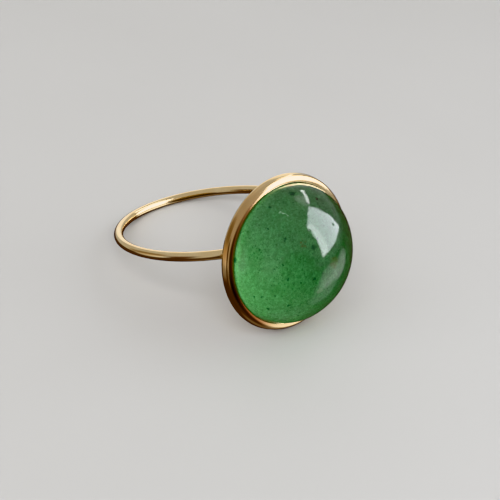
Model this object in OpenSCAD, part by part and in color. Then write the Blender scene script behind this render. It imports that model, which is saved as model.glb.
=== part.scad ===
// Ring with a thin round-wire band and a high-domed round stone in a shallow gold cup.
// It lies on its side as it would by itself, on the cup's lower edge and the far end of the band.
// Millimetres, +Z up, with the surface that it lies on at Z = 0 and the stone towards +X.

/* [Band] */
// Inside diameter of the band, which is the finger size
finger_d = 18.3; // [16:0.1:21]
// Diameter of the round wire
wire_d = 0.9; // [0.8:0.05:1.4]

/* [Stone] */
// Diameter of the stone
stone_d = 13; // [12:0.1:15]
// Height of the stone from its flat back to the top of its dome
stone_h = 5.8; // [5.2:0.1:6.4]
// Height of the stone's straight side, which the cup covers
girdle_h = 0.45; // [0.3:0.05:0.6]
// Radius of the curve that turns from the stone's side into its crown
shoulder_r = 4; // [3.4:0.1:4.4]

/* [Cup] */
// Gap between the stone and the cup, all round and below
seat_gap = 0.03; // [0.01:0.01:0.06]
// Width of the cup's rim, from the stone to the rim's outer corner
rim_w = 0.63; // [0.4:0.01:0.8]
// How much wider the cup is below the rim than at the rim's outer corner
flare = 0.14; // [0.05:0.01:0.3]
// Width of the slope that the rim was burnished to, outside its crest
slope_w = 0.3; // [0.1:0.05:0.4]
// Height of that slope
slope_h = 0.2; // [0.1:0.05:0.3]
// How much lower the rim is at the stone than at its crest
rim_dip = 0.06; // [0:0.01:0.1]
// Height of the cup from its back to the rim's crest
cup_h = 1.1; // [1:0.05:1.3]
// Thickness of the cup's back
back_t = 0.3; // [0.2:0.05:0.4]
// Radius of the round edge between the cup's back and its side
edge_r = 0.5; // [0.45:0.05:0.6]

/* [Joint] */
// How deep the wire is soldered into the cup's back
solder_depth = 0.1; // [0.05:0.05:0.2]
// How far the cup's centre sits below the middle of the wire as the ring lies
cup_drop = 1; // [0:0.1:1.5]

/* [Hidden] */
$fn = 120;

// Band, as a circle around the Z axis before the ring is laid down
wire_r = wire_d / 2;
band_r = finger_d / 2 + wire_r;

// Cup, measured outwards from the band's centre along X
cup_back = band_r + wire_r - solder_depth;
seat_r = stone_d / 2 + seat_gap;
corner_r = seat_r + rim_w;
edge_centre_r = corner_r + flare - edge_r;

// Stone: the side's curve and the crown's curve meet without a corner
stone_back = cup_back + back_t + seat_gap;
dome_h = stone_h - girdle_h;
shoulder_x = stone_d / 2 - shoulder_r;
rise = dome_h - shoulder_r;
crown_drop = (shoulder_x * shoulder_x - rise * rise) / (2 * rise);
crown_r = dome_h + crown_drop;

// Resting pose: the tilt at which the cup's round edge and the band's far end touch the surface
edge_reach = cup_back + edge_r + band_r;
edge_fall = cup_drop + edge_centre_r;
tilt = atan2(edge_fall, edge_reach) + asin((edge_r - wire_r) / norm([edge_reach, edge_fall]));
lift = band_r * sin(tilt) + wire_r;
stone_end = (stone_back + girdle_h - crown_drop) * cos(tilt) + cup_drop * sin(tilt) + crown_r;
band_end = -band_r * cos(tilt) - wire_r;
middle_x = (stone_end + band_end) / 2;

// Lays the ring down: its finger axis along Z becomes tilted, and the stone's end is raised
module laid_down() {
    translate([-middle_x, 0, lift]) rotate([0, -tilt, 0]) children();
}

// Turns a profile of radius and height about the stone's axis, standing out along X
module turned_at(distance) {
    translate([distance, 0, -cup_drop]) rotate([0, 90, 0]) rotate_extrude() children();
}

// Round wire, closed in a full circle around the finger
module band() {
    rotate_extrude() translate([band_r, 0]) circle(r = wire_r);
}

// Half section of the cup: closed back, round lower edge, flank that leans in to the rim, and the rim's
// outer slope, crest and dip to the stone
module cup_profile() {
    intersection() {
        translate([edge_centre_r, edge_r]) circle(r = edge_r);
        translate([edge_centre_r, 0]) square(edge_r);
    }
    polygon([
        [0, 0],
        [edge_centre_r, 0],
        [edge_centre_r, edge_r],
        [edge_centre_r + edge_r, edge_r],
        [corner_r, cup_h - slope_h],
        [corner_r - slope_w, cup_h],
        [seat_r, cup_h - rim_dip],
        [seat_r, back_t],
        [0, back_t]
    ]);
}

// Half section of the stone: a straight side, then the shoulder's arc, then the crown's arc.
// The two arcs meet on the line through both their centres, which bounds the crown's sector.
module stone_profile() {
    beyond = 4;
    square([stone_d / 2, girdle_h]);
    translate([0, girdle_h]) intersection() {
        square([stone_d / 2, dome_h]);
        union() {
            translate([shoulder_x, 0]) circle(r = shoulder_r);
            intersection() {
                translate([0, -crown_drop]) circle(r = crown_r);
                polygon([
                    [0, 0],
                    [shoulder_x, 0],
                    [shoulder_x * beyond, crown_drop * (beyond - 1)],
                    [0, 2 * crown_r]
                ]);
            }
        }
    }
}

// Band and cup, soldered into one piece of gold
module setting() {
    color([0.83, 0.62, 0.29]) laid_down() {
        band();
        turned_at(cup_back) cup_profile();
    }
}

// Aventurine cabochon, seated in the cup
module cabochon() {
    color([0.29, 0.57, 0.31]) laid_down() turned_at(stone_back) stone_profile();
}

setting();
cabochon();
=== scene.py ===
# %% [markdown]
# # An aventurine ring
#
# The ring has two parts. The gold setting is a full circle of thin round wire, soldered to the back of a
# shallow round cup. The cup holds a high, round, polished stone: green aventurine, a quartz that is full
# of tiny flakes of green mica. The ring lies on its side, on the cup's lower edge and on the far end of
# the band, so that the stone looks up at a slant.
#
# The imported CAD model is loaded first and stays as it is. It says where everything is. Both of its solids
# are then replaced by finer meshes in the same places.

# %% Load the frame
from math import asin, atan2, cos, degrees, hypot, pi, radians, sin

import bpy
from mathutils import Euler, Matrix, Vector


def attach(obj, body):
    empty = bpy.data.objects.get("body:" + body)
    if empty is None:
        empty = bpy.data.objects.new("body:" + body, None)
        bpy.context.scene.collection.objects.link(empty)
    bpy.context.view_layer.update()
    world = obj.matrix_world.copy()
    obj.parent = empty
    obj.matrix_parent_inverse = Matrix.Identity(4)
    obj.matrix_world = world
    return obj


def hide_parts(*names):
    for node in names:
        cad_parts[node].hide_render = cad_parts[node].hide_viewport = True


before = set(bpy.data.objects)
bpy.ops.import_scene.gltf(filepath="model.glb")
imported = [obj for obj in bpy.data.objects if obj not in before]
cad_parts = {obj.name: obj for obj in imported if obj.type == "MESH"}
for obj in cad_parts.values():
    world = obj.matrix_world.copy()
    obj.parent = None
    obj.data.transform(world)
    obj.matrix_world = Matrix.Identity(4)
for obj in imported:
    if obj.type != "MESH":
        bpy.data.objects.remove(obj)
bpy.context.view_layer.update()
bpy.ops.object.select_all(action="DESELECT")
print("solids:", sorted(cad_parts))

# %% [markdown]
# ## The measures
#
# A goldsmith works from a few sizes: the finger, the wire, the stone, and the cup that fits the stone.
# The sizes below are those of the solids, in metres. Everything else follows from them, so a piece that
# is built from them lands exactly on its solid.

# %% Sizes that everything follows from
MM = 0.001
wire_r = 0.45 * MM                  # the band's round wire, 0.9 mm thick
band_r = 18.3 * MM / 2 + wire_r     # middle of the wire, around an 18.3 mm finger
stone_r = 6.5 * MM
stone_h = 5.8 * MM
girdle_h = 0.45 * MM                # the stone's straight side
shoulder_r = 4 * MM                 # curve from the side into the crown
seat_gap = 0.03 * MM                # between the stone and the cup, below and all round
seat_r = stone_r + seat_gap         # inside of the cup
corner_r = seat_r + 0.63 * MM       # outer corner of the cup's rim
cup_r = corner_r + 0.14 * MM        # the cup where it is widest
cup_edge = 0.5 * MM                 # round lower edge of the cup
back_t = 0.3 * MM                   # thickness of the cup's back
cup_drop = 1 * MM                   # the cup's centre, below the middle of the band
solder_depth = 0.1 * MM             # how far the wire is sunk into the cup's back

# Distances from the finger's axis
cup_back = band_r + wire_r - solder_depth
stone_back = cup_back + back_t + seat_gap

# The crown is part of a larger ball, and meets the shoulder's curve without a corner
dome_h = stone_h - girdle_h
crown_x, rise = stone_r - shoulder_r, dome_h - shoulder_r
crown_drop = (crown_x ** 2 - rise ** 2) / (2 * rise)
crown_r = dome_h + crown_drop
print(f"crown radius {crown_r / MM:.2f} mm, {crown_drop / MM:.2f} mm below the girdle")

# %% [markdown]
# ## How the ring lies
#
# Each piece is modelled upright, with the finger's axis along Z and the stone towards X, because its
# circles are simple there. The finished piece is then laid down: it is turned until the cup's round edge
# and the far end of the band both touch the floor, and its turn is applied to the mesh.

# %% The turn and shift that lay the ring down
reach, fall = cup_back + cup_edge + band_r, cup_drop + cup_r - cup_edge
lean = atan2(fall, reach) + asin((cup_edge - wire_r) / hypot(reach, fall))
lift = band_r * sin(lean) + wire_r
stone_end = (stone_back + girdle_h - crown_drop) * cos(lean) + cup_drop * sin(lean) + crown_r
middle_x = (stone_end - band_r * cos(lean) - wire_r) / 2
LAID = Matrix.Translation((-middle_x, 0, lift)) @ Matrix.Rotation(-lean, 4, "Y")
print(f"the ring leans {degrees(lean):.2f} degrees")


def lay_down(piece):
    """Puts a finished upright piece where it lies, with its place in its mesh."""
    bpy.ops.object.select_all(action="DESELECT")
    piece.select_set(True)
    bpy.context.view_layer.objects.active = piece
    piece.matrix_world = LAID
    bpy.ops.object.transform_apply(location=True, rotation=True, scale=True)


# %% [markdown]
# ## The band
#
# Round wire is drawn through a steel plate, bent round a mandrel and soldered shut. In Blender the wire's
# round section is a circle, and Spin carries it once around the finger. Spin leaves a seam where it
# ends, so doubles are merged and the normals are set to point outwards.

# %% Spin the wire's section around the finger
TURN_STEPS = 360


def close_up():
    """Merges what a spin left double, and turns every face outwards."""
    bpy.ops.mesh.select_all(action="SELECT")
    bpy.ops.mesh.remove_doubles(threshold=1e-6)
    bpy.ops.mesh.normals_make_consistent(inside=False)
    bpy.ops.object.mode_set(mode="OBJECT")


bpy.ops.mesh.primitive_circle_add(
    vertices=48, radius=wire_r, location=(band_r, 0, 0), rotation=(pi / 2, 0, 0))
band = bpy.context.object
band.name = "band"
bpy.ops.object.transform_apply(location=True, rotation=True, scale=True)
bpy.ops.object.mode_set(mode="EDIT")
bpy.ops.mesh.select_all(action="SELECT")
bpy.ops.mesh.spin(steps=TURN_STEPS, angle=2 * pi, center=(0, 0, 0), axis=(0, 0, 1))
close_up()
print("band:", len(band.data.vertices), "vertices")

# %% [markdown]
# ## Turned shapes
#
# The cup and the stone are both round about one axis, which is how they are made too: the cup is pressed
# and turned, and the stone is ground against a spinning wheel. So both come from an outline. One vertex
# is extruded from point to point along the outline, as by hand, and Spin turns the outline into a solid.
# An outline is a list of pairs: the distance from the axis, and the height along it.

# %% Turn an outline about the stone's axis


def arc(centre, radius, start, end, steps):
    """Points on a round curve, from one angle to another, both in degrees."""
    turns = [radians(start + (end - start) * i / steps) for i in range(steps + 1)]
    return [(centre[0] + radius * cos(a), centre[1] + radius * sin(a)) for a in turns]


def turned(name, outline, distance):
    """A solid with this outline, whose base stands that far from the finger's axis."""
    place = [Vector((distance + h, 0, r - cup_drop)) for r, h in outline]
    bpy.ops.mesh.primitive_plane_add(size=MM, location=place[0])
    made = bpy.context.object
    made.name = name
    bpy.ops.object.transform_apply(location=True, rotation=True, scale=True)
    bpy.ops.object.mode_set(mode="EDIT")
    bpy.ops.mesh.select_all(action="SELECT")
    bpy.ops.mesh.merge(type="CENTER")
    for here, there in zip(place, place[1:]):
        bpy.ops.mesh.extrude_region_move(TRANSFORM_OT_translate={"value": there - here})
    bpy.ops.mesh.select_all(action="SELECT")
    bpy.ops.mesh.spin(
        steps=TURN_STEPS, angle=2 * pi, center=(distance, 0, -cup_drop), axis=(1, 0, 0))
    close_up()
    print(name + ":", len(made.data.vertices), "vertices")
    return made


# %% [markdown]
# ## The cup
#
# The cup is a shallow pan with a closed flat back, a round lower edge and a low wall that leans in. Its
# top was pushed over the stone with a polished steel tool, bit by bit all the way round. That leaves a
# broad round slope, a nearly flat crest that is a hair higher than the solid's own, and a tiny lip that
# turns down to the stone. On polished gold these small curves matter more than anything else, because each
# of them mirrors its own strip of the room and draws its own line of light.
#
# The outline goes from curve to curve like a bent wire. Each curve starts in the direction in which the
# last one ended, so there is no corner that would break a reflection. An angle of 0 faces away from the
# stone's axis, and 90 faces the way that the stone looks.
#
# Smooth shading spreads the bend at a corner over the faces beside it. So each flat face gets one more ring
# close to its corner, and stays flat to the eye up to there.

# %% Outline of the cup


def bends(start, angle, turns):
    """Goes on from a point in round curves. Each turn has a radius in mm and the angle that it ends at."""
    points = [start]
    for radius, end in turns:
        r, h = points[-1]
        radius *= MM
        centre = (r - radius * cos(radians(angle)), h - radius * sin(radians(angle)))
        points += arc(centre, radius, angle, end, 8)[1:]
        angle = end
    return points


wall_foot = -12                     # the angle at which the lower edge goes over into the wall
lower_edge = arc((cup_r - cup_edge, cup_edge), cup_edge, -90, wall_foot, 10)
wall_and_rim = bends(lower_edge[-1], wall_foot, [
    (0.30, 10), (3.5, 15),          # the wall, which leans in
    (0.43, 40), (0.46, 75),         # the slope
    (1.05, 92),                     # the crest
    (0.07, 150), (0.04, 178)])      # the lip
crest = max(wall_and_rim, key=lambda point: point[1])
print("crest, out and up in mm:", [round(v / MM, 3) for v in crest])
print("rim's end at the stone:", [round(v / MM, 3) for v in wall_and_rim[-1]])

# %% Spin of the cup
back_ring, floor_ring = cup_r - cup_edge - 0.6 * MM, seat_r - 0.4 * MM
lip_foot = 0.8 * MM
outside = [(0, 0), (back_ring, 0)] + lower_edge + wall_and_rim[1:]
inside = [(seat_r, lip_foot), (seat_r, back_t), (floor_ring, back_t), (0, back_t)]
cup = turned("cup", outside + inside, cup_back)

# %% [markdown]
# ## The solder
#
# Where the wire passes behind the cup it only just touches the flat back. The gap beside the wire is
# filled by solder, which runs along it and draws up into a hollow curve. A small disc stands for it: it
# is stretched along the wire, and its free side rises in steps, each higher than the last. Each step also
# draws it in, less and less, and less along the wire than across it.

# %% Draw the solder in towards the wire
SOLDER_STEPS = 6
steps_in_all = SOLDER_STEPS * (SOLDER_STEPS + 1) // 2
solder_long, solder_wide, solder_high = 2.3 * MM, 0.85 * MM, 0.42 * MM
bpy.ops.mesh.primitive_circle_add(
    vertices=96, radius=1 * MM, fill_type="NGON", location=(cup_back + 0.05 * MM, 0, 0),
    rotation=(0, -pi / 2, 0))
solder = bpy.context.object
solder.name = "solder"
solder.scale = (solder_wide / MM, solder_long / MM, 1)
bpy.ops.object.transform_apply(location=True, rotation=True, scale=True)
bpy.ops.object.mode_set(mode="EDIT")
bpy.ops.mesh.select_all(action="SELECT")
for i in range(SOLDER_STEPS):
    across = 0.72 + 0.045 * i
    along = across + 0.1
    bpy.ops.mesh.extrude_region_move(
        TRANSFORM_OT_translate={"value": (-solder_high * (i + 1) / steps_in_all, 0, 0)})
    bpy.ops.transform.resize(value=(1, along, across), center_override=(cup_back, 0, 0))
close_up()
print("solder:", len(solder.data.vertices), "vertices")

# %% [markdown]
# ## One piece of gold
#
# Soldered metal is one solid, so the three shapes are joined with the Boolean modifier, and what lies
# inside the others is gone. The angle that keeps an edge sharp is set so that the polished curves stay
# smooth and only the real corners break the light.

# %% Join band, cup and solder
SHARP = radians(32)
for tool in (cup, solder):
    join = band.modifiers.new("join", "BOOLEAN")
    join.operation, join.solver, join.object = "UNION", "EXACT", tool
    bpy.context.view_layer.objects.active = band
    bpy.ops.object.modifier_apply(modifier="join")
    bpy.data.objects.remove(tool)
setting = band
setting.name = "gold_setting"
lay_down(setting)
bpy.ops.object.shade_smooth_by_angle(angle=SHARP)
print("gold setting:", sum(len(p.vertices) - 2 for p in setting.data.polygons), "triangles")

# %% [markdown]
# ## The stone
#
# A cabochon is ground to a flat back, a short straight side that the cup hides, a tight curve at the
# shoulder and a flatter curve over the crown. The two curves meet without a corner, on the line through
# both their centres.

# %% Outline and spin of the stone
meet = degrees(atan2(crown_drop, crown_x))
chamfer = 0.08 * MM                 # the lower corner is ground off, so that it doesn't chip
base_ring, side_ring = stone_r - 1 * MM, girdle_h * 0.7
stone_outline = (
    [(0, 0), (base_ring, 0), (stone_r - chamfer, 0), (stone_r, chamfer), (stone_r, side_ring)]
    + arc((crown_x, girdle_h), shoulder_r, 0, meet, 28)
    + arc((0, girdle_h - crown_drop), crown_r, meet, 90, 44)[1:]
)
stone = turned("aventurine_cabochon", stone_outline, stone_back)
lay_down(stone)
bpy.ops.object.shade_smooth_by_angle(angle=SHARP)

# %% [markdown]
# ## Writing materials as sums
#
# A node material is a calculation. The class below wraps a socket, so that a sum or a product of such
# values adds the Math nodes by itself, and one method makes every other kind of node.

# %% A socket that can be calculated with


class Value:
    """A number, vector or colour that comes out of a node."""
    tree = None

    def __init__(self, socket):
        self.socket = socket

    @classmethod
    def node(cls, kind, settings=None, sockets=None, out=0):
        """Adds a node, then its settings, then the values or links of its sockets."""
        made = cls.tree.nodes.new("ShaderNode" + kind)
        for name, value in (settings or {}).items():
            setattr(made, name, value)
        for key, value in (sockets or {}).items():
            if isinstance(value, Value):
                cls.tree.links.new(value.socket, made.inputs[key])
            else:
                made.inputs[key].default_value = value
        return None if out is None else cls(made.outputs[out])

    def math(self, operation, first, second):
        return self.node("Math", {"operation": operation}, {0: first, 1: second})

    def __add__(self, other): return self.math("ADD", self, other)
    def __radd__(self, other): return self.math("ADD", other, self)
    def __sub__(self, other): return self.math("SUBTRACT", self, other)
    def __rsub__(self, other): return self.math("SUBTRACT", other, self)
    def __mul__(self, other): return self.math("MULTIPLY", self, other)
    def __rmul__(self, other): return self.math("MULTIPLY", other, self)
    def __truediv__(self, other): return self.math("DIVIDE", self, other)


# %% [markdown]
# Five more kinds of node come back so often that each gets a short name: a soft step from one number to
# another, a clamp, a mixture of two colours, cloudy noise of a size in millimetres, and the sums that are
# done on places instead of numbers.

# %% Short names for common nodes


def step(value, start, end):
    """Goes softly from 0 to 1 while the value goes from start to end, up or down."""
    return Value.node("MapRange", {"interpolation_type": "SMOOTHSTEP"},
                      {"Value": value, "From Min": start, "From Max": end})


def clamp(value):
    return Value.node("Clamp", None, {0: value})


def mix(amount, below, above):
    """Lays one colour over another by that amount."""
    below, above = [c if isinstance(c, Value) else (*c, 1) for c in (below, above)]
    return Value.node("Mix", {"data_type": "RGBA"}, {0: amount, 6: below, 7: above}, out=2)


def noise(place, size, detail=2.0, rough=0.5, seed=0.0):
    """Cloudy noise from 0 to 1, whose patches are about that many millimetres across."""
    return Value.node("TexNoise", {"noise_dimensions": "4D"}, {
        "Vector": place, "W": seed, "Scale": 1 / size, "Detail": detail, "Roughness": rough})


def vector(operation, first, second=(0, 0, 0), out=0):
    """A sum on places. Distances, lengths and dot products are numbers, at output 1."""
    return Value.node("VectorMath", {"operation": operation}, {0: first, 1: second}, out=out)


def scaled(place, amount):
    return Value.node("VectorMath", {"operation": "SCALE"}, {0: place, "Scale": amount})


# %% Start and end of a material


def material(name):
    """A new empty material, and the piece's own coordinates in millimetres."""
    made = bpy.data.materials.new(name)
    made.use_nodes = True
    made.node_tree.nodes.clear()
    Value.tree = made.node_tree
    return made, scaled(Value.node("TexCoord", out=3), 1 / MM)


def surface(sockets):
    """Ends the material in a shader with these sockets."""
    shader = Value.node("BsdfPrincipled", None, sockets)
    Value.node("OutputMaterial", None, {"Surface": shader}, out=None)


def finish(piece, made):
    """Gives a piece this material and no other."""
    piece.data.materials.clear()
    piece.data.materials.append(made)
    print(made.name + ":", len(made.node_tree.nodes), "nodes")


# %% [markdown]
# ## Gold
#
# Fourteen carat yellow gold, here a plating on brass, is warm but rather pale, and a worn polish is never
# perfect. A buffing wheel and a drawing plate both leave very fine scratches, and they run the way that the
# piece was worked: round the finger on the wire, and round the stone on the cup. So the scratches are noise
# that is read from two numbers, the distance from an axis and the height along it, and hardly changes along
# the circle.

# %% Where a point is, as seen from an axis
gold, at = material("gold_polish")


def around(centre, axis):
    """How far a point is from an axis, and how high along it, in millimetres."""
    there = vector("SUBTRACT", at, tuple(LAID @ Vector(centre) / MM))
    axis = tuple(LAID.to_3x3() @ Vector(axis))
    far = vector("CROSS_PRODUCT", there, axis)
    return vector("LENGTH", far, out=1), vector("DOT_PRODUCT", there, axis, out=1)


def scratches(far, high, seed):
    """Very fine lines that run round an axis."""
    across = Value.node("CombineXYZ", None, {0: far, 1: high})
    return noise(vector("ADD", across, scaled(at, 0.02)), 0.07, 3, 0.65, seed)


finger_far, finger_high = around((0, 0, 0), (0, 0, 1))
stone_far, stone_high = around((cup_back, 0, -cup_drop), (1, 0, 0))
on_cup = step(stone_high, -0.05, 0.0)
hairs = (scratches(finger_far, finger_high, 7.0) * (1 - on_cup)
         + scratches(stone_far, stone_high, 8.0) * on_cup)

# %% [markdown]
# The colour isn't even either. Clouds show where polishing left a softer shine. A darker, redder film
# stays where a cloth doesn't reach, beside the solder. The left side of the rim is painted darker and
# browner, and a dark red-brown line is painted along the stone there: painted shade and painted dark
# reflection. The flat back was never polished to a mirror. It has the satin face of emery paper, which
# takes its light from a wide part of the room.

# %% Colour, film, painted shade and shine of the gold
clouds = noise(at, 1.6, 3, 0.6)
tone = mix(step(clouds, 0.35, 0.7), (0.86, 0.66, 0.37), (0.90, 0.72, 0.44))
from_joint = vector("DISTANCE", at, tuple(LAID @ Vector((cup_back, 0, 0)) / MM), out=1)
tone = mix(0.4 * step(from_joint, 3.4, 1.4) * step(clouds, 0.3, 0.6), tone, (0.62, 0.37, 0.16))
left = vector("DOT_PRODUCT", at, (0, -1, 0), out=1)
# Painted shade: the left side of the rim is made darker and browner, for the dark room that it mirrors.
painted_shade_rim_left = step(stone_high, 0.35, 0.6) * step(left, 0.5, 4.5)
tone = mix(0.7 * painted_shade_rim_left, tone, (0.58, 0.34, 0.15))
# Painted shade and painted dark reflection: a red-brown line along the stone on the rim's left side.
painted_shade_lip_line = step(stone_far, 7.02, 6.84) * step(stone_high, 0.75, 0.9) * step(left, 2.6, 5.2)
tone = mix(0.8 * painted_shade_lip_line, tone, (0.34, 0.11, 0.05))

satin = on_cup * step(stone_high, 0.14, 0.04)
rough = 0.09 + 0.06 * step(clouds, 0.3, 0.75) + 0.05 * step(hairs, 0.55, 0.8) + 0.32 * satin
grain = noise(at, 0.09, 2, 0.6, 3.0)
dents = Value.node("Bump", None, {
    "Strength": 0.3, "Distance": 0.005 * MM, "Height": hairs * 0.7 + grain * 0.3})
surface({"Base Color": tone, "Metallic": 1.0, "Roughness": rough, "Normal": dents})
finish(setting, gold)

# %% [markdown]
# ## Aventurine
#
# Aventurine is a rock of tiny quartz grains, so up close its green is mottled like sugar. Three sizes of
# noise stand for that: wide clouds, the grains, and a fine light dust between them. The places that all
# of them read are first pushed about a little by a swirl, which makes every edge in the stone ragged.

# %% Mottled green
green, at = material("aventurine_polish")
swirl = Value.node("TexNoise", None, {"Vector": at, "Scale": 3.5, "Detail": 2.0}, out=1)
ragged = vector("ADD", at, scaled(vector("SUBTRACT", swirl, (0.5, 0.5, 0.5)), 0.45))
clouds = noise(at, 3.2, 3, 0.55, 1.0)
sugar = noise(vector("MULTIPLY", ragged, (1.3, 1.3, 0.8)), 0.27, 3, 0.7, 2.0)
fine = noise(at, 0.13, 2, 0.6, 4.0)
body = mix(step(clouds, 0.35, 0.68), (0.046, 0.145, 0.053), (0.056, 0.170, 0.064))
body = mix(0.68 * step(sugar, 0.42, 0.70), body, (0.084, 0.262, 0.106))
body = mix(0.40 * step(fine, 0.52, 0.72), body, (0.110, 0.310, 0.135))
body = mix(0.50 * step(sugar, 0.46, 0.28), body, (0.026, 0.088, 0.035))

# %% [markdown]
# The mica that gives the stone its colour shows as dark green dots. The larger ones are placed one by one.
# Each has its place, x, y and z, and its radius, all in millimetres. Smaller crumbs come from cells, of
# which only some are used, and the smallest from noise.

# %% Dots of mica


def spot(x, y, z, radius):
    """1 inside a ragged spot in the stone, 0 outside it. The place is in millimetres."""
    return step(vector("DISTANCE", ragged, (x, y, z), out=1), radius * 1.25, radius * 0.5)


mica = [
    (9.4, -3.2, 11.3, 0.16), (9.5, -3.3, 11.1, 0.10), (11.0, -1.2, 10.6, 0.24), (10.7, -0.6, 11.1, 0.14),
    (11.2, -3.8, 8.2, 0.15), (12.2, -1.6, 8.1, 0.13), (10.0, -5.4, 6.1, 0.17), (10.5, -4.8, 4.8, 0.16),
    (10.4, -4.0, 9.4, 0.12), (10.2, -4.6, 8.9, 0.11), (7.9, -4.0, 11.6, 0.12), (6.6, -2.8, 12.6, 0.16),
    (11.8, -2.2, 3.8, 0.15), (9.5, -5.8, 5.9, 0.12), (11.6, -3.5, 5.5, 0.13), (8.0, 0.3, 12.9, 0.15),
    (6.6, -0.3, 13.2, 0.30), (6.9, -6.3, 8.4, 0.26), (11.8, -2.8, 7.9, 0.12), (8.5, -5.1, 10.1, 0.10),
    (10.2, 1.8, 11.3, 0.11), (10.1, 0.6, 11.7, 0.12)]
dots = spot(*mica[0])
for place in mica[1:]:
    dots = dots + spot(*place)
cell = Value.node("TexVoronoi", None, {"Vector": ragged, "Scale": 0.8})
cell_colour = Value(cell.socket.node.outputs["Color"])
crumbs = step(cell, 0.12, 0.05) * step(Value.node("SeparateColor", None, {0: cell_colour}), 0.45, 0.55)
dust = step(noise(at, 0.15, 1, 0.4, 11.0), 0.64, 0.70)
dots = clamp(dots + 0.65 * crumbs + 0.6 * dust)
body = mix(0.85 * dots, body, (0.004, 0.045, 0.014))

# %% [markdown]
# Every real stone has a few marks of its own: here four brown or ochre stains of iron, a paler spot, and a
# tiny white crack in three straight runs. A line of the list is a place and radius in millimetres, then how
# deep the stain's colour is, then the colour.

# %% Stains and a crack
broken = step(noise(at, 0.25, 2, 0.6, 9.0), 0.45, 0.62)
body = mix(0.75 * broken * spot(10.45, -2.0, 10.95, 0.42), body, (0.075, 0.060, 0.020))
stains = [
    (7.8, 1.6, 12.8, 0.19, 0.95, (0.024, 0.008, 0.004)),
    (5.35, 0.4, 13.1, 0.40, 0.60, (0.110, 0.070, 0.025)),
    (12.1, 0.7, 8.9, 0.60, 0.30, (0.150, 0.140, 0.040)),
    (12.5, -0.95, 6.75, 0.32, 0.30, (0.22, 0.34, 0.20))]
for *place, depth, colour in stains:
    body = mix(depth * spot(*place), body, colour)


def crack(start, end, width):
    """1 on a thin straight line between two places in the stone."""
    along = tuple(b - a for a, b in zip(start, end))
    from_start = vector("DOT_PRODUCT", vector("SUBTRACT", ragged, start), along, out=1)
    foot = vector("ADD", start, scaled(along, clamp(from_start / sum(v * v for v in along))))
    return step(vector("DISTANCE", ragged, foot, out=1), width, width * 0.4)


tick = [(7.61, -2.58, 12.52), (7.60, -2.37, 12.60), (7.78, -2.30, 12.57), (8.16, -2.07, 12.51)]
flaw = crack(tick[0], tick[1], 0.06) + crack(tick[1], tick[2], 0.05) + crack(tick[2], tick[3], 0.05)
body = mix(clamp(0.6 * flaw), body, (0.26, 0.46, 0.30))

# %% [markdown]
# Light falls into a clear stone at the upper right and gathers at the far side, so the green is deep and
# dull near the light and bright at the lower left. It also glows along the thin edge above the rim, where
# light that the gold throws back comes through. The shader's subsurface scattering softens the stone, but
# it can't gather light like a lens, so both effects are painted into the colour. They are worked out from
# two lengths in millimetres: how far a point is away from the light, and how high it is above the cup.

# %% Light inside the stone
stone_middle, from_light = (9.3, 0.0, 8.3), (0.0, -0.66, -0.75)
away = vector("DOT_PRODUCT", vector("SUBTRACT", at, stone_middle), from_light, out=1)
body = mix(step(away, 1.5, -6.0) * 0.85, body, vector("MULTIPLY", body, (0.66, 0.48, 0.54)))
body = mix(step(away, -0.5, 6.5) * 0.85, body, vector("MULTIPLY", body, (2.2, 2.1, 2.05)))
stone_foot = tuple(LAID @ Vector((stone_back, 0, -cup_drop)) / MM)
stone_way = tuple(LAID.to_3x3() @ Vector((1, 0, 0)))
high = vector("DOT_PRODUCT", vector("SUBTRACT", at, stone_foot), stone_way, out=1)
edge = step(high, 1.5, 0.8) * 0.7 + step(high, 3.2, 1.2) * step(away, 2.0, 5.5) * 0.25
body = mix(edge, body, vector("MULTIPLY", body, (1.9, 1.9, 1.9)))

# %% [markdown]
# A stone of many grains never takes a perfect polish: the grains wear down unevenly, and the mirror image
# of a window gets a ragged edge. So the surface has slow ripples, small ones and grain, and one tiny pit
# where a grain fell out, which mirrors nothing.

# %% Polish of the stone
QUARTZ_IOR = 1.54
pit_place = (10.10, 1.80, 11.39)
pit = step(vector("DISTANCE", at, pit_place, out=1), 0.15, 0.06)
ripple = (noise(at, 2.4, 2, 0.5, 5.0) + 0.08 * noise(at, 0.5, 2, 0.6, 6.0)
          + 0.20 * noise(ragged, 0.26, 1, 0.5, 12.0) - 1.5 * pit)
polish = Value.node("Bump", None, {"Strength": 0.5, "Distance": 0.05 * MM, "Height": ripple})
surface({"Base Color": body, "Roughness": 0.05 + 0.05 * step(sugar, 0.4, 0.7) + 0.7 * pit,
         "IOR": QUARTZ_IOR, "Normal": polish, "Subsurface Weight": 0.85,
         "Subsurface Radius": (0.35, 1.0, 0.45), "Subsurface Scale": 1.2 * MM})
finish(stone, green)

# %% [markdown]
# ## Tying the pieces to the frame
#
# Nothing on the ring moves, so both pieces ride on the same body. Each one stands for its CAD solid, which
# is hidden.

# %% Ride and replace
for piece, node, slot in ((setting, "setting", "gold"), (stone, "cabochon", "aventurine")):
    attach(piece, "root")
    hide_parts(node)
    print(piece.name, "stands for", node)

# %% [markdown]
# ## Floor and backdrop
#
# The floor is pale matt paper with a trace of unevenness. Polished gold mirrors all that is around it, and
# between pale paper and pale walls it looks like cream plastic. Photographers put dark cards beside such
# pieces, out of sight. Here the floor itself is left out of the mirror images, so that the dark lower part
# of the room shows in them instead.

# %% Floor
bpy.ops.object.select_all(action="DESELECT")
bpy.ops.mesh.primitive_circle_add(vertices=128, radius=0.9, fill_type="NGON")
floor = bpy.context.object
floor.name = "floor"
paper, at = material("pale_floor")
surface({"Base Color": mix(noise(at, 30, 2, 0.5), (0.50, 0.497, 0.49), (0.53, 0.527, 0.52)),
         "Roughness": 0.6})
finish(floor, paper)
floor.visible_glossy = False

# %% [markdown]
# The backdrop is a round wall that only the camera sees. It gives off the paper's own brightness, and it
# neither lights the ring nor shows in it, so the view stays plain from every side. Its foot is a millimetre
# below the floor, so that no gap shows between them.

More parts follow.
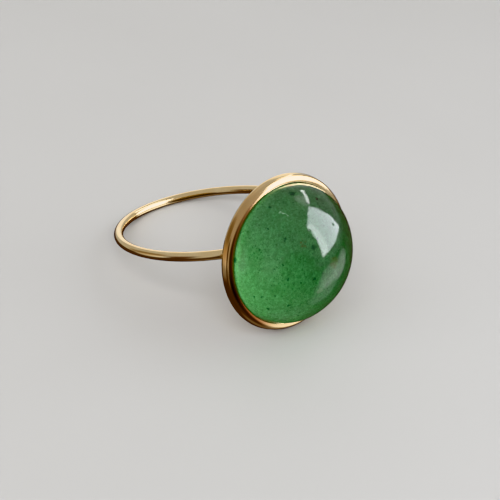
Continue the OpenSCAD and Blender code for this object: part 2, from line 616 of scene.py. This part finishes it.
# %% Backdrop
wall_high = 2
bpy.ops.mesh.primitive_cylinder_add(
    vertices=128, radius=0.35, depth=wall_high, location=(0, 0, wall_high / 2 - 1 * MM),
    end_fill_type="NOTHING")
backdrop = bpy.context.object
backdrop.name = "backdrop"
bpy.ops.object.transform_apply(location=True, rotation=True, scale=True)
wall, at = material("pale_wall")
surface({"Base Color": (0.0, 0.0, 0.0, 1), "Emission Color": (1.0, 0.995, 0.98, 1),
         "Emission Strength": 0.52, "Roughness": 1.0})
finish(backdrop, wall)
for seen in ("glossy", "diffuse", "transmission", "volume_scatter", "shadow"):
    setattr(backdrop, "visible_" + seen, False)

# %% [markdown]
# ## Camera
#
# The camera looks down on the ring at 37 degrees, past the stone and along the band. It is rolled a little,
# and its lens is twice as long as a normal one. The frame is 500 pixels wide, and the lens is known by how
# many such pixels away the picture would lie.

# %% Camera
eye = Vector((56.166, -53.424, 60.969)) * MM
gaze = Vector((-0.56810, 0.56241, -0.60079))
roll_degrees, frame_px, lens_px, sensor_mm = 9.2, 500, 994.55, 36
bpy.ops.object.camera_add(location=eye)
camera = bpy.context.object
camera.rotation_mode = "QUATERNION"
camera.rotation_quaternion = (
    gaze.to_track_quat("-Z", "Y") @ Euler((0, 0, radians(roll_degrees))).to_quaternion())
camera.data.sensor_width = sensor_mm
camera.data.lens = sensor_mm * lens_px / frame_px
camera.data.clip_start, camera.data.clip_end = 0.005, 10
bpy.context.scene.camera = camera
print(f"lens {camera.data.lens:.1f} mm, looking down {degrees(asin(-gaze.z)):.1f} degrees")

# %% [markdown]
# ## Lights
#
# A window stands behind the ring to the right. It is made of two lamps in one place: one that lights, and
# a brighter one that is only mirrored, because the image of a window in a polished stone is far brighter
# than the stone itself. A third lamp before its right edge, mirrored too, is a pane that stands open. A
# narrow lamp draws the short streak near the rim. Two fill lamps from the front lift the shadows, and are
# never mirrored.

# %% Lights
stone_top = Vector((10.4, 0.5, 11.4)) * MM


def softbox(name, azimuth, height, distance, size, bright, tilt=None, roll=0):
    """A rectangular light in that direction from the stone. bright is how bright it looks from there.

    It looks straight at the stone, or down by tilt degrees, and is turned in its own plane by roll."""
    a, e = radians(azimuth), radians(height)
    way = Vector((cos(a) * cos(e), sin(a) * cos(e), sin(e)))
    bpy.ops.object.light_add(type="AREA", location=stone_top + way * distance)
    lamp = bpy.context.object
    lamp.name = name
    lamp.rotation_mode = "QUATERNION"
    e = radians(height if tilt is None else tilt)
    aim = Vector((-cos(a) * cos(e), -sin(a) * cos(e), -sin(e))).to_track_quat("-Z", "Y")
    lamp.rotation_quaternion = aim @ Euler((0, 0, radians(roll))).to_quaternion()
    lamp.data.shape = "RECTANGLE"
    lamp.data.size, lamp.data.size_y = size
    lamp.data.energy = bright * pi * size[0] * size[1]
    lamp.visible_camera = False
    print(f"{name}: {lamp.data.energy:.3f} W")
    return lamp


window_way, window_size = (60, 39.5), (0.31, 0.41)
upright = {"tilt": 0, "roll": -6}
softbox("window", *window_way, 0.388, window_size, 1.2, **upright)
shine = softbox("window_shine", *window_way, 0.398, window_size, 5.6, **upright)
shine.visible_diffuse = False
shine.data.color = (0.95, 1.0, 1.10)
softbox("open_pane", 39.5, 37.3, 0.412, (0.08, 0.40), 2.8, **upright).visible_diffuse = False
softbox("lamp_strip", 112, 38, 0.30, (0.018, 0.155), 8, roll=46).visible_diffuse = False
softbox("fill", -100, 35, 0.5, (0.4, 0.4), 1.6).visible_glossy = False
softbox("front_fill", -50, 48, 0.5, (0.4, 0.4), 3.5).visible_glossy = False

# %% [markdown]
# ## The room
#
# The world is all that gold and stone mirror besides the lamps. Its upper half is an even grey-white. Its
# lower half is almost black, and begins lower down behind the ring. Each line of the two lists is one soft
# round patch: its azimuth and height in degrees, the angles at which it starts and stops fading, and how
# much it darkens or adds. The wire and the rim turn these patches into their thin light and dark lines. In
# a world's nodes the texture coordinates are simply the direction of the ray.

# %% The room's upper and lower half
world = bpy.data.worlds.new("studio")
bpy.context.scene.world = world
world.use_nodes = True
Value.tree = world.node_tree
look = Value.node("TexCoord")
up = Value.node("SeparateXYZ", None, {0: look}, out=2)
back_azimuth = radians(195)
back_way = (cos(back_azimuth), sin(back_azimuth), 0)
behind = step(vector("DOT_PRODUCT", look, back_way, out=1), 0.1, 0.4)
dark = 0.02 + 0.10 * noise(look, 0.4, 2, 0.5, 2.0)
lit = step(up + 0.28 * behind, -0.10, 0.10)
room = 0.52 * lit + dark * (1 - lit)

# %% Darker and brighter patches


def towards(azimuth, height, inner, outer):
    """1 in that direction, and 0 where it is more than outer degrees away."""
    a, e = radians(azimuth), radians(height)
    way = (cos(a) * cos(e), sin(a) * cos(e), sin(e))
    return step(vector("DOT_PRODUCT", look, way, out=1), cos(radians(outer)), cos(radians(inner)))


brown = (-128, 8, 8, 32)
darker = [(-10, 4, 14, 36, 0.9), (-80, 12, 8, 24, 0.75), (*brown, 0.5)]
brighter = [
    (40, -18, 8, 18, 1.3), (63, -18, 6, 15, 1.3), (42, -34, 8, 22, 0.5), (106, 50, 2, 12, 1.3),
    (148, 7, 6, 26, 0.8), (172, 38, 4, 16, 0.1), (95, -10, 12, 26, 0.05), (10, -68, 8, 30, 0.18),
    (-112, -12, 10, 26, 0.30), (-52, -6, 6, 20, 0.18)]
for *patch, depth in darker:
    room = room * (1 - depth * towards(*patch))
for *patch, glow in brighter:
    room = room + glow * towards(*patch)

# %% [markdown]
# What is dark in the room is also warmer, like wood and leather. That turns the dark lines in the gold a
# red brown instead of grey.

# %% Colour of the room
tint = mix(step(room, 0.30, 0.08), (1.0, 0.985, 0.96), (1.0, 0.55, 0.45))
tint = mix(0.8 * towards(*brown), tint, (1.0, 0.76, 0.50))
sky = world.node_tree.nodes["Background"]
Value.tree.links.new(room.socket, sky.inputs["Strength"])
Value.tree.links.new(tint.socket, sky.inputs["Color"])
bpy.context.scene.view_settings.view_transform = "Khronos PBR Neutral"
print("room:", len(world.node_tree.nodes), "nodes")
